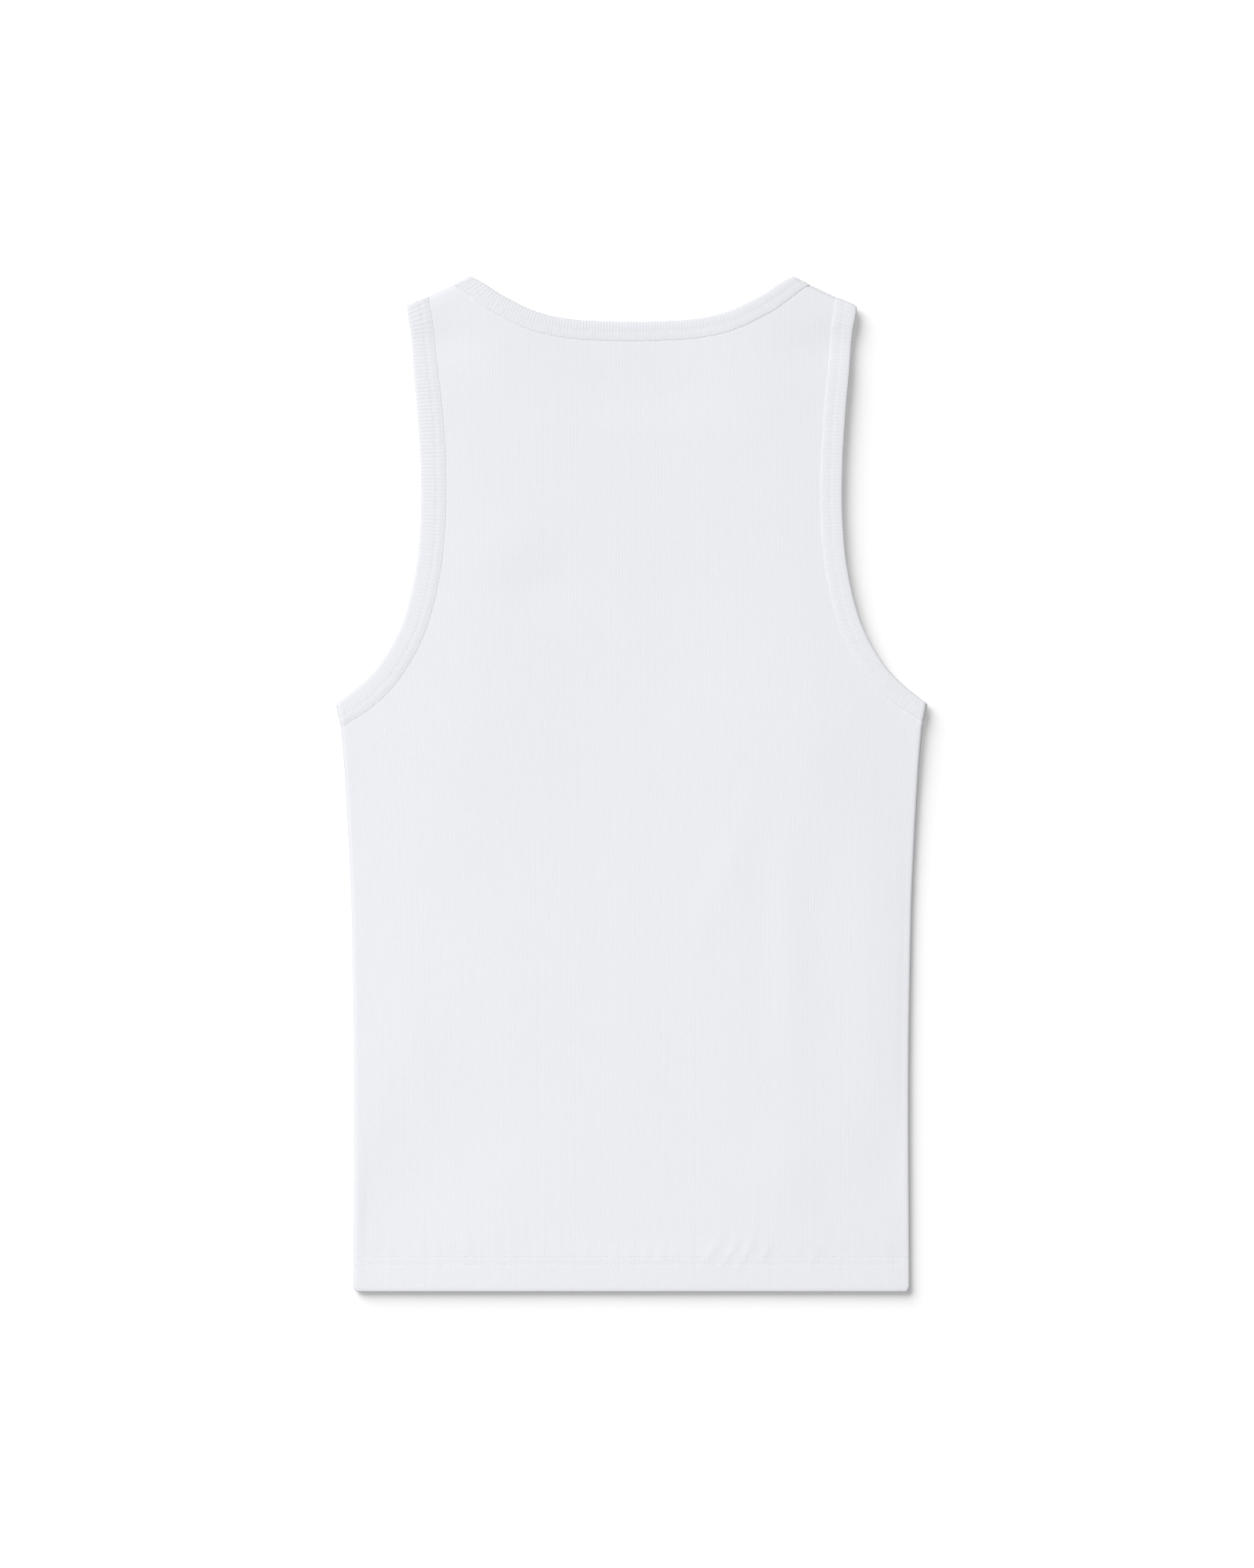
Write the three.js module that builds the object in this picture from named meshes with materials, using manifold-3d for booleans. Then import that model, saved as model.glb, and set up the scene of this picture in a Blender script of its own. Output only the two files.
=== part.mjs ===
// A ribbed cotton tank top, laid flat on its front with its back facing up.
// Millimetres. +Y runs from the hem to the neck, +Z is up from the table, and the origin is on the table
// under the middle of the garment. -X is the wearer's left side.
// A maker cuts five pieces: back, front, and three rib strips that wrap the neck and the two armholes.
// Each strip is folded over the panels' raw edge, and runs round from the back, over the fold, to the front.

import * as THREE from "three";
import { mergeVertices } from "three/addons/utils/BufferGeometryUtils.js";
import Module from "manifold-3d";

const wasm = await Module();
wasm.setup();

// Cloth.
const WALL = 1.0; // knit between the ribs
const RIB_HEIGHT = 0.25;
const RIB_COUNT = 200; // ribs across the back
const SEAM_GAP = 0.3;
const LEAF = 1.0; // each leaf of a folded strip
const HEM_DEPTH = 23; // cloth turned up inside the bottom edge

// Outline. Widths are half-widths, because both sides match.
const LENGTH = 700; // neck point to hem
const TOP = LENGTH / 2;
const NECK_POINT = new THREE.Vector2(110.4, TOP + 0.5); // before the strip's edge is rounded
const SHOULDER_POINT = new THREE.Vector2(154.4, 330);
const UNDERARM_POINT = new THREE.Vector2(204.4, 56.3);
const UNDERARM_LEAN = Math.atan(0.19); // how far the side leans out at the underarm

// Strips. The wearer's right strip is sewn a little narrower than the left one.
const NECK_BAND = 13.5;
const LEFT_BAND = 17.4;
const RIGHT_BAND = 14.7;
const BAND_END_SHARE = 0.89; // an armhole strip's width at its folds, as a share of its full width
const FRONT_SCOOP = 6; // how much deeper the front's armhole is cut than the back's
const TURN_LENGTH = 24; // over which a strip's cross-lines turn to lie along its fold
const RAW_EDGE_CLEARANCE = 1.2; // between a panel's raw edge and the crease inside a strip

// Heights. A strip holds a panel between its leaves, and the back lies on the front.
const STRIP_OUT = WALL / 2 + RIB_HEIGHT + SEAM_GAP + LEAF; // middle of the panel's cloth to the strip's face
const STRIP_IN = WALL / 2 + SEAM_GAP + LEAF;
const FOLD_RADIUS = STRIP_IN + SEAM_GAP / 2; // of the middle of the cloth, where the garment folds
const FRONT_LEVEL = STRIP_OUT;
const FOLD_LEVEL = FRONT_LEVEL + FOLD_RADIUS;
const FLAT_LEVEL = WALL / 2; // middle of the front's cloth where it lies on the table
const HEM_BACK_LEVEL = FLAT_LEVEL + 3 * WALL + 1.5 * SEAM_GAP; // over two turned-up layers
const BODY_BACK_LEVEL = 3.9; // at the sides, where the seams' turned-in edges fill the fold
const BODY_DIP = 0.8; // how much lower the back lies between them

const FOLD_STEPS = 6; // facets round a half-turn fold
const ARMHOLE_STEPS = 20; // cross-lines along a strip, on each side of the folds
const BACK_NECK_STEPS = 28;
const FRONT_NECK_STEPS = 34;
const COLUMNS_PER_RIB = 2;
const SIDE_COLUMNS = 8; // at each side seam, which stay this fine on the plain faces too
const PLAIN_STEP = 16; // columns to one on a plain face
const HEM_CORNER = 3.5; // radius

// The shoulder line, its outward direction, and the underarm's.
const shoulderAlong = NECK_POINT.clone().sub(SHOULDER_POINT).normalize();
const shoulderOut = new THREE.Vector2(shoulderAlong.y, -shoulderAlong.x);
const underarmAlong = new THREE.Vector2(Math.sin(UNDERARM_LEAN), Math.cos(UNDERARM_LEAN));
const underarmOut = new THREE.Vector2(underarmAlong.y, -underarmAlong.x);

// Where a fold's axis lies, under a point of the outline that a strip's outer face makes.
const axisUnder = (point, out) => point.clone().addScaledVector(out, -(FOLD_RADIUS + STRIP_OUT));
const neckAxis = axisUnder(NECK_POINT, shoulderOut);
const shoulderAxis = axisUnder(SHOULDER_POINT, shoulderOut);
const underarmAxis = axisUnder(UNDERARM_POINT, underarmOut);

// Free edges of the strips, from fold to fold.
const ARMHOLE_EDGE = [
  { x: 150.6, y: 290 },
  { x: 147.5, y: 254 },
  { x: 145.5, y: 218 },
  { x: 145.6, y: 182 },
  { x: 149.2, y: 146 },
  { x: 159.0, y: 109 },
  { x: 176.5, y: 79 },
];
const BACK_NECK_EDGE = [
  { x: 99.6, y: 343.1 },
  { x: 88.2, y: 336.1 },
  { x: 66.2, y: 325.6 },
  { x: 44.1, y: 320.7 },
  { x: 22.2, y: 319.1 },
];
const BACK_NECK_MIDDLE = 318.6;
const FRONT_NECK_EDGE = [
  { x: 105.3, y: 316 },
  { x: 98.5, y: 287 },
  { x: 83, y: 260 },
  { x: 58, y: 240 },
  { x: 30, y: 230.5 },
];
const FRONT_NECK_MIDDLE = 227.5;

// Levels up the garment: half-width to the side's outer face, heights of the middle of the front's and the
// back's cloth at the sides, and how far each dips towards the middle.
const LIFT = FRONT_LEVEL - FLAT_LEVEL;
const BACK_LEVEL = FOLD_LEVEL + FOLD_RADIUS;
const halfInStrip = (y) =>
  underarmAxis.x + (y - underarmAxis.y) * Math.tan(UNDERARM_LEAN) + FOLD_RADIUS + WALL / 2 + RIB_HEIGHT;
const LEVELS = [
  { y: -TOP, half: 192.2, front: FLAT_LEVEL, back: HEM_BACK_LEVEL, frontDip: 0, backDip: 0 },
  { y: -215, half: 191.6, front: FLAT_LEVEL, back: BODY_BACK_LEVEL, frontDip: 0, backDip: BODY_DIP },
  { y: -95, half: 193.2, front: FLAT_LEVEL, back: BODY_BACK_LEVEL, frontDip: 0, backDip: BODY_DIP },
  { y: -20, half: 196.5, front: FLAT_LEVEL, back: BODY_BACK_LEVEL + 0.6, frontDip: 0, backDip: 1.4 },
  { y: 41, half: halfInStrip(41), front: FRONT_LEVEL, back: BACK_LEVEL, frontDip: LIFT, backDip: 2.2 },
  { y: 58, half: halfInStrip(58), front: FRONT_LEVEL, back: BACK_LEVEL, frontDip: LIFT, backDip: 2.2 },
  { y: 120, half: 208, front: FRONT_LEVEL, back: BACK_LEVEL, frontDip: LIFT, backDip: 1.9 },
  { y: 202, half: 209, front: FRONT_LEVEL, back: BACK_LEVEL, frontDip: 0, backDip: 0.9 },
  { y: 246, half: 208, front: FRONT_LEVEL, back: BACK_LEVEL, frontDip: 0, backDip: 0.9 },
  { y: 268, half: 207, front: FRONT_LEVEL, back: BACK_LEVEL, frontDip: 0, backDip: 0 },
];
const DIP_FLAT_TO = 70; // the dip is full this far from the middle line
const DIP_ENDS = 118; // and gone here, just inside the armhole strips

// The back neck has no front under it, and sags towards the table.
const NECK_SAG = { depth: 2.4, flatTo: 40, endsAt: 104, from: 246, to: 268 };

// Soft folds left in the back by packing: place, half-length, half-width, height and lean of each.
const SOFT_FOLDS = [
  { x: 62, y: -75, length: 85, width: 13, height: 0.5, lean: 0.1 },
  { x: 118, y: -120, length: 95, width: 16, height: 0.6, lean: 0.05 },
  { x: -130, y: -160, length: 90, width: 24, height: -0.5, lean: -0.35 },
  { x: -72, y: 150, length: 28, width: 32, height: -0.35, lean: 0 },
  { x: -20, y: -230, length: 110, width: 45, height: 0.45, lean: 0.2 },
];

const range = (count) => Array.from({ length: count }, (_, i) => i);
const smooth = (share) => THREE.MathUtils.smoothstep(share, 0, 1);

function asSolid(geometry) {
  const bare = new THREE.BufferGeometry().setAttribute("position", geometry.getAttribute("position"));
  if (geometry.index) bare.setIndex(geometry.index);
  const merged = mergeVertices(bare, 1e-4);
  const corners = new Uint32Array(merged.index.array);
  const made = new wasm.Manifold(
    new wasm.Mesh({ numProp: 3, vertProperties: merged.attributes.position.array, triVerts: corners }),
  );
  if (made.volume() > 0) return made;
  for (let i = 0; i < corners.length; i += 3) [corners[i], corners[i + 1]] = [corners[i + 1], corners[i]];
  return new wasm.Manifold(
    new wasm.Mesh({ numProp: 3, vertProperties: merged.attributes.position.array, triVerts: corners }),
  );
}

function asGeometry(solid) {
  const mesh = solid.getMesh();
  const geometry = new THREE.BufferGeometry()
    .setAttribute("position", new THREE.BufferAttribute(new Float32Array(mesh.vertProperties), 3))
    .setIndex(new THREE.BufferAttribute(new Uint32Array(mesh.triVerts), 1));
  geometry.computeVertexNormals();
  return geometry;
}

function indexedGeometry(points, triangles) {
  return new THREE.BufferGeometry().setFromPoints(points).setIndex(triangles);
}

// Panels.

// How much of the dip is left at x: all of it near the middle line, none at the armhole strips.
const dipShare = (x) => 1 - smooth((Math.abs(x) - DIP_FLAT_TO) / (DIP_ENDS - DIP_FLAT_TO));

function neckSag(x, y) {
  const across = 1 - smooth((Math.abs(x) - NECK_SAG.flatTo) / (NECK_SAG.endsAt - NECK_SAG.flatTo));
  return NECK_SAG.depth * across * smooth((y - NECK_SAG.from) / (NECK_SAG.to - NECK_SAG.from));
}

function softFoldsAt(x, y) {
  return SOFT_FOLDS.reduce((sum, fold) => {
    const along = (y - fold.y) / fold.length;
    const across = (x - fold.x - fold.lean * (y - fold.y)) / fold.width;
    return sum + fold.height * Math.exp(-along * along - across * across);
  }, 0);
}

// Height up the garment of the shoulder fold's axis at x, which the top rows follow.
const shoulderAxisY = (x) =>
  THREE.MathUtils.mapLinear(Math.abs(x), shoulderAxis.x, neckAxis.x, shoulderAxis.y, neckAxis.y);

// A row of a panel's grid gives, for u from -1 at one side seam to 1 at the other, a point in the middle of
// the cloth and the cloth's outward direction there. side is 1 for the back and -1 for the front.
function bodyRow(level, side) {
  const radius = (level.back - level.front) / 2;
  const seamLevel = (level.back + level.front) / 2;
  const axis = level.half - radius - WALL / 2 - RIB_HEIGHT;
  const reach = axis + (radius * Math.PI) / 2;
  return (u) => {
    const s = Math.abs(u) * reach;
    const turned = Math.max(0, (s - axis) / radius);
    const x = Math.sign(u) * (Math.min(s, axis) + radius * Math.sin(turned));
    const dip = (side > 0 ? level.backDip : level.frontDip) * dipShare(x);
    const fold = side > 0 ? softFoldsAt(x, level.y) * (1 - smooth((s - axis + 30) / 25)) : 0;
    const sag = side > 0 ? neckSag(x, level.y) : 0;
    const z = seamLevel + side * radius * Math.cos(turned) - dip + fold - sag;
    return {
      point: new THREE.Vector3(x, level.y, z),
      normal: new THREE.Vector3(Math.sign(u) * Math.sin(turned), 0, side * Math.cos(turned)),
      seamLevel,
    };
  };
}

// A row on the shoulder fold, turned by an angle from flat.
function shoulderRow(turned, side, halfWidth) {
  return (u) => {
    const x = u * halfWidth;
    const lean = THREE.MathUtils.clamp(x / DIP_FLAT_TO, -1, 1);
    const normal = new THREE.Vector3(shoulderOut.x * lean, shoulderOut.y, 0).multiplyScalar(Math.sin(turned));
    normal.z = side * Math.cos(turned);
    const point = new THREE.Vector3(x, shoulderAxisY(x), FOLD_LEVEL).addScaledVector(normal, FOLD_RADIUS);
    if (side > 0) point.z -= neckSag(x, TOP);
    return { point, normal, seamLevel: FOLD_LEVEL };
  };
}

// A panel's cloth ends half a seam gap short of where back and front meet.
function facePoint(row, u, side, distance) {
  const { point, normal, seamLevel } = row(u);
  point.addScaledVector(normal, distance);
  const least = side * seamLevel + SEAM_GAP / 2;
  if (Math.abs(normal.z) < 0.99) point.z = side * Math.max(side * point.z, least);
  return point;
}

// A closed wall between an outer face, raised into ribs, and an inner face with fewer columns.
function wallSolid(rows, side, columns, innerColumns, outerAt, innerAt) {
  const outer = rows.map((row) => columns.map((u, j) => facePoint(row, u, side, outerAt(j))));
  const inner = rows.map((row) => innerColumns.map((j) => facePoint(row, columns[j], side, innerAt)));
  const innerStart = rows.length * columns.length;
  const out = (i, j) => i * columns.length + j;
  const within = (i, k) => innerStart + i * innerColumns.length + k;
  const triangles = [];
  const quad = (a, b, c, d) => triangles.push(a, b, c, a, c, d);
  const lastRow = rows.length - 1;
  const lastColumn = columns.length - 1;
  const lastInner = innerColumns.length - 1;
  for (const i of range(lastRow)) {
    range(lastColumn).forEach((j) => quad(out(i, j), out(i, j + 1), out(i + 1, j + 1), out(i + 1, j)));
    for (const k of range(lastInner)) {
      quad(within(i, k), within(i + 1, k), within(i + 1, k + 1), within(i, k + 1));
    }
    quad(out(i, 0), out(i + 1, 0), within(i + 1, 0), within(i, 0));
    quad(out(i + 1, lastColumn), out(i, lastColumn), within(i, lastInner), within(i + 1, lastInner));
  }
  // The bottom and top rims join the fine outer edge to the coarser inner one.
  for (const i of [0, lastRow]) {
    const triangle = (a, b, c) => (i ? triangles.push(b, a, c) : triangles.push(a, b, c));
    for (const k of range(lastInner)) {
      const from = innerColumns[k];
      const to = innerColumns[k + 1];
      const middle = Math.floor((from + to) / 2);
      for (let j = from; j < to; j++) triangle(out(i, j + 1), out(i, j), within(i, j < middle ? k : k + 1));
      triangle(out(i, middle), within(i, k), within(i, k + 1));
    }
  }
  return asSolid(indexedGeometry([...outer.flat(), ...inner.flat()], triangles));
}

// A prism through the whole garment, to cut it.
function tallPrism(shape) {
  const prism = new THREE.ExtrudeGeometry(shape, { depth: 8 * STRIP_OUT, bevelEnabled: false });
  return asSolid(prism.translate(0, 0, -2 * STRIP_OUT));
}

function hemCornerCutter() {
  const edge = LEVELS[0].half;
  const arc = range(5).map((k) => {
    const angle = (k * Math.PI) / 8;
    const centre = new THREE.Vector2(edge - HEM_CORNER, HEM_CORNER - TOP);
    return centre.add(new THREE.Vector2(Math.cos(angle), -Math.sin(angle)).multiplyScalar(HEM_CORNER));
  });
  const beyond = new THREE.Vector2(edge + HEM_CORNER, -TOP - HEM_CORNER);
  const shape = new THREE.Shape([
    new THREE.Vector2(beyond.x, arc[0].y),
    ...arc,
    new THREE.Vector2(arc[4].x, beyond.y),
    beyond,
  ]);
  return tallPrism(shape);
}

// A panel with its hem turned up inside, before its neck and armholes are cut.
function uncutPanel(side) {
  const ribbed = side > 0;
  const last = RIB_COUNT * COLUMNS_PER_RIB;
  const fine = range(last + 1).map((j) => (2 * j) / last - 1);
  const plain = range(last + 1).filter(
    (j) => j <= SIDE_COLUMNS || j >= last - SIDE_COLUMNS || (j - SIDE_COLUMNS) % PLAIN_STEP === 0,
  );
  const plainColumns = plain.map((j) => fine[j]);
  const topHalf = LEVELS[LEVELS.length - 1].half;
  const turns = range(FOLD_STEPS / 2 + 1).map((k) => (k * Math.PI) / FOLD_STEPS);
  const rows = [
    ...LEVELS.map((level) => bodyRow(level, side)),
    ...turns.map((turned) => shoulderRow(turned, side, topHalf)),
  ];
  const ribAt = (j) => (ribbed ? (j % COLUMNS_PER_RIB) * RIB_HEIGHT : 0);
  const wall = wallSolid(
    rows,
    side,
    ribbed ? fine : plainColumns,
    ribbed ? plain : range(plain.length),
    (j) => WALL / 2 + ribAt(j),
    -WALL / 2,
  );
  const hemTop = {};
  for (const key of ["half", "front", "back", "frontDip", "backDip"]) {
    hemTop[key] = THREE.MathUtils.mapLinear(HEM_DEPTH, 0, LEVELS[1].y + TOP, LEVELS[0][key], LEVELS[1][key]);
  }
  hemTop.y = HEM_DEPTH - TOP;
  const hemRows = [bodyRow(LEVELS[0], side), bodyRow(hemTop, side)];
  const buried = 0.05 - WALL / 2;
  const turnUp = wallSolid(hemRows, side, plainColumns, range(plain.length), () => buried, -1.5 * WALL);
  const corner = hemCornerCutter();
  return wall.add(turnUp).subtract(corner).subtract(corner.mirror([1, 0, 0]));
}

// Strips.

const mirrored = (point) => new THREE.Vector2(-point.x, point.y);
const asPoints = (rows) => rows.map((row) => new THREE.Vector2(row.x, row.y));

const armholeEdge = new THREE.SplineCurve([shoulderAxis, ...asPoints(ARMHOLE_EDGE), underarmAxis]);

function neckEdge(rows, middle) {
  const side = [neckAxis, ...asPoints(rows)];
  return new THREE.SplineCurve([...side.map(mirrored), new THREE.Vector2(0, middle), ...side.reverse()]);
}

// Cross-lines of a strip, from its free edge to its seam line: square to the edge, but along the fold at the
// ends.
function crossLines(edge, count, foldDirections, widthAt) {
  const length = edge.getLength();
  return range(count + 1).map((i) => {
    const share = i / count;
    const free = edge.getPointAt(share);
    const tangent = edge.getTangentAt(share);
    const across = new THREE.Vector2(tangent.y, -tangent.x)
      .lerp(foldDirections[0], smooth(1 - (share * length) / TURN_LENGTH))
      .lerp(foldDirections[1], smooth(1 - ((1 - share) * length) / TURN_LENGTH))
      .normalize();
    return { free, seam: free.clone().addScaledVector(across, widthAt(share)) };
  });
}

// The folded strip's section: w runs from the seam line to the free edge, h is out from the middle of the
// panel.
function stripSection(width) {
  const outside = STRIP_OUT;
  const inside = -STRIP_IN;
  const crease = width - LEAF;
  return [
    { w: 0, h: outside - 0.3 },
    { w: 0.4, h: outside },
    { w: width - 1.3, h: outside },
    { w: width - 0.4, h: outside - 0.7 },
    { w: width, h: (outside + inside) / 2 },
    { w: width - 0.4, h: inside + 0.7 },
    { w: width - 1.3, h: inside },
    { w: 0, h: inside },
    { w: 0, h: inside + LEAF },
    { w: crease - 0.3, h: inside + LEAF },
    { w: crease, h: (outside + inside) / 2 },
    { w: crease - 0.3, h: outside - LEAF },
    { w: 0, h: outside - LEAF },
  ];
}

// The section on a cross-line that is turned about its fold, from 0 on the back to half a turn on the front.
function placedSection(line, out, turned, sagAt = () => 0) {
  const normal = new THREE.Vector3(out.x * Math.sin(turned), out.y * Math.sin(turned), Math.cos(turned));
  const along = line.free.clone().sub(line.seam);
  const width = along.length();
  along.normalize();
  const base = new THREE.Vector3(line.seam.x, line.seam.y, FOLD_LEVEL).addScaledVector(normal, FOLD_RADIUS);
  return stripSection(width).map(({ w, h }) => {
    const point = new THREE.Vector3(along.x * w, along.y * w, 0).add(base).addScaledVector(normal, h);
    point.z -= sagAt(point.x, TOP);
    return point;
  });
}

// A strip's closed ring: along the back, over the far fold, along the front, and over the near fold.
function stripRing(back, front, nearOut, farOut, sagAt) {
  const foldTurns = range(FOLD_STEPS - 1).map((k) => ((k + 1) * Math.PI) / FOLD_STEPS);
  const sections = [
    ...back.map((line) => placedSection(line, farOut, 0, sagAt)),
    ...foldTurns.map((turned) => placedSection(back[back.length - 1], farOut, turned)),
    ...front.map((line) => placedSection(line, farOut, Math.PI)).reverse(),
    ...foldTurns.map((turned) => placedSection(back[0], nearOut, Math.PI - turned)),
  ];
  const size = sections[0].length;
  const triangles = sections.flatMap((_, i) =>
    range(size).flatMap((j) => {
      const next = ((i + 1) % sections.length) * size;
      const beside = (j + 1) % size;
      return [i * size + j, i * size + beside, next + beside, i * size + j, next + beside, next + j];
    }),
  );
  return asSolid(indexedGeometry(sections.flat(), triangles));
}

// A prism that cuts a panel along its raw edge, which lies inside the strip near the crease.
function rawEdgeCutter(lines, nearOut, farOut, beyond) {
  const edge = lines.map(({ free, seam }) => {
    const along = seam.clone().sub(free).normalize();
    return free.clone().addScaledVector(along, LEAF + RAW_EDGE_CLEARANCE);
  });
  const reach = 2 * (FOLD_RADIUS + STRIP_OUT);
  const near = edge[0].clone().addScaledVector(nearOut, reach);
  const far = edge[edge.length - 1].clone().addScaledVector(farOut, reach);
  return tallPrism(new THREE.Shape([near, ...edge, far, ...beyond]));
}

// The same cross-lines on the wearer's other side.
const mirroredLines = (lines) =>
  lines.map(({ free, seam }) => ({ free: mirrored(free), seam: mirrored(seam) }));

function armholeLines(band, scoop) {
  const widthAt = (share) => band * (BAND_END_SHARE + (1 - BAND_END_SHARE) * Math.sin(Math.PI * share));
  const ends = [shoulderAlong, underarmAlong.clone().negate()];
  const lines = crossLines(armholeEdge, ARMHOLE_STEPS, ends, widthAt);
  return lines.map(({ free, seam }, i) => {
    const inward = seam.clone().sub(free).normalize();
    const deeper = scoop * Math.sin((Math.PI * i) / ARMHOLE_STEPS) ** 2;
    return {
      free: free.clone().addScaledVector(inward, deeper),
      seam: seam.clone().addScaledVector(inward, deeper),
    };
  });
}

function neckLines(rows, middle, count) {
  const toShoulder = shoulderAlong.clone().negate();
  return crossLines(neckEdge(rows, middle), count, [mirrored(toShoulder), toShoulder], () => NECK_BAND);
}

const backNeck = neckLines(BACK_NECK_EDGE, BACK_NECK_MIDDLE, BACK_NECK_STEPS);
const frontNeck = neckLines(FRONT_NECK_EDGE, FRONT_NECK_MIDDLE, FRONT_NECK_STEPS);
const OFF = 2 * TOP; // well clear of the garment
const aboveNeck = [new THREE.Vector2(60, OFF), new THREE.Vector2(-60, OFF)];
const besideArmhole = [new THREE.Vector2(OFF, 0), new THREE.Vector2(OFF, OFF), new THREE.Vector2(190, OFF)];

const bands = { right: RIGHT_BAND, left: LEFT_BAND };

function armhole(name, scoop) {
  const lines = armholeLines(bands[name], scoop);
  return name === "right" ? lines : mirroredLines(lines);
}

function armholeCutter(name, scoop) {
  const cutter = rawEdgeCutter(armholeLines(bands[name], scoop), shoulderOut, underarmOut, besideArmhole);
  return name === "right" ? cutter : cutter.mirror([1, 0, 0]);
}

function armholeStrip(name) {
  const flip = name === "right" ? (out) => out : mirrored;
  return stripRing(armhole(name, 0), armhole(name, FRONT_SCOOP), flip(shoulderOut), flip(underarmOut));
}

function cutPanel(uncut, neck, scoop) {
  return uncut
    .subtract(rawEdgeCutter(neck, mirrored(shoulderOut), shoulderOut, aboveNeck))
    .subtract(armholeCutter("right", scoop))
    .subtract(armholeCutter("left", scoop));
}

const pieces = {
  back_panel: cutPanel(uncutPanel(1), backNeck, 0),
  front_panel: cutPanel(uncutPanel(-1), frontNeck, FRONT_SCOOP),
  neck_binding: stripRing(backNeck, frontNeck, mirrored(shoulderOut), shoulderOut, neckSag),
  armhole_binding_left: armholeStrip("left"),
  armhole_binding_right: armholeStrip("right"),
};

const knit = { color: 0xeceef2, roughness: 0.9, metalness: 0 };
const strip = { color: 0xeff0f3, roughness: 0.88, metalness: 0 };

const tankTop = new THREE.Group();
for (const [name, solid] of Object.entries(pieces)) {
  const finish = name.endsWith("panel") ? knit : strip;
  const mesh = new THREE.Mesh(asGeometry(solid), new THREE.MeshStandardMaterial(finish));
  mesh.name = name;
  tankTop.add(mesh);
}

export default tankTop;
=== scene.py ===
import math

import bpy
import numpy as np
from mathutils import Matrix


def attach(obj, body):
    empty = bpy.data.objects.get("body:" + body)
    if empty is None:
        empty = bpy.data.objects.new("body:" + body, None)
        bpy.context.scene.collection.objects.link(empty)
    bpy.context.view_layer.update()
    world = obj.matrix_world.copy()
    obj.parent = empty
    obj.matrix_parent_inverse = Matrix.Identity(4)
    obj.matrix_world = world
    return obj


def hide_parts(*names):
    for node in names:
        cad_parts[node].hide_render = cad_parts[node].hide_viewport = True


# A ribbed cotton tank top, laid flat on its front. Sizes and places are in millimetres until a mesh is made.
# +Y runs from the hem to the neck, +Z is up from the table, and -X is the wearer's left side.

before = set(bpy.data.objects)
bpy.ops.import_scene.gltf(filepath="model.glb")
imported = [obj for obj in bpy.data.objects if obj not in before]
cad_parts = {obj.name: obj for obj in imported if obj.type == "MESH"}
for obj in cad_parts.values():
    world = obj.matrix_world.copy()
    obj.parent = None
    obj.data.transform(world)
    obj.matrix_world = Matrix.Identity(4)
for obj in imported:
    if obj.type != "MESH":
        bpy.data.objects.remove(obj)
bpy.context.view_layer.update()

MM = 0.001

# Cloth.
WALL = 1.0
LEAF = 1.0  # each leaf of a folded strip
SEAM_GAP = 0.3
RIB_COUNT = 200  # across a panel
RIB_SPACING = 1.92
RIB_RISE = 0.036
SOLID_RIB = 0.25  # height of the solid's ribs, which sets how far a strip stands off
COURSE = 1.3  # height of one knitted row
RIB_COLUMNS = ((0.0, 0.0), (0.24, 1.0), (0.76, 1.0))  # place across a rib, share of its rise
RIB_WIDTH_SPREAD = 0.07  # of a rib's width
RIB_RISE_RANGE = (0.65, 1.25)  # share of the rise, from the lowest rib to the highest
PANEL_SEED = 31

# Outline.
TOP = 350.0
NECK_POINT = np.array([110.4, TOP + 0.5])
SHOULDER_POINT = np.array([154.4, 330.0])
UNDERARM_POINT = np.array([204.4, 56.3])
UNDERARM_SLOPE = 0.19
HEM_DEPTH = 23.0
HEM_CORNER = 3.5  # radius of the bottom corners
CORNER_REACH = 16.0  # how far in from the side a corner's rounding is felt
HEM_BEND = 0.56  # radius of the middle of the cloth where it turns up
FAR = 2 * TOP  # well outside the garment
CUT_ABOVE_NECK, CUT_BESIDE = 60.0, 190.0  # corners out there of what is cut away

# Heights. A strip holds a panel between its leaves, and the back lies on the front.
STRIP_OUT = WALL / 2 + SOLID_RIB + SEAM_GAP + LEAF
STRIP_IN = WALL / 2 + SEAM_GAP + LEAF
FOLD_RADIUS = STRIP_IN + SEAM_GAP / 2
FRONT_LEVEL = STRIP_OUT
FOLD_LEVEL = FRONT_LEVEL + FOLD_RADIUS
BACK_LEVEL = FOLD_LEVEL + FOLD_RADIUS
FLAT_LEVEL = WALL / 2
HEM_LEVEL = FLAT_LEVEL + 3 * WALL + 1.5 * SEAM_GAP
BODY_BACK_LEVEL, BODY_DIP = 4.2, 0.7  # at the sides, and how much lower the back lies between them
LIFT = FRONT_LEVEL - FLAT_LEVEL
CURL_ALLOWANCE = 0.15  # the sides curl over this much further out

# Strips. Widths run from the shoulder to the underarm.
NECK_RIB, ARM_RIB = 2.05, 2.5
NECK_RISE, LEFT_RISE, RIGHT_RISE = 0.17, 0.25, 0.10
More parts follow.
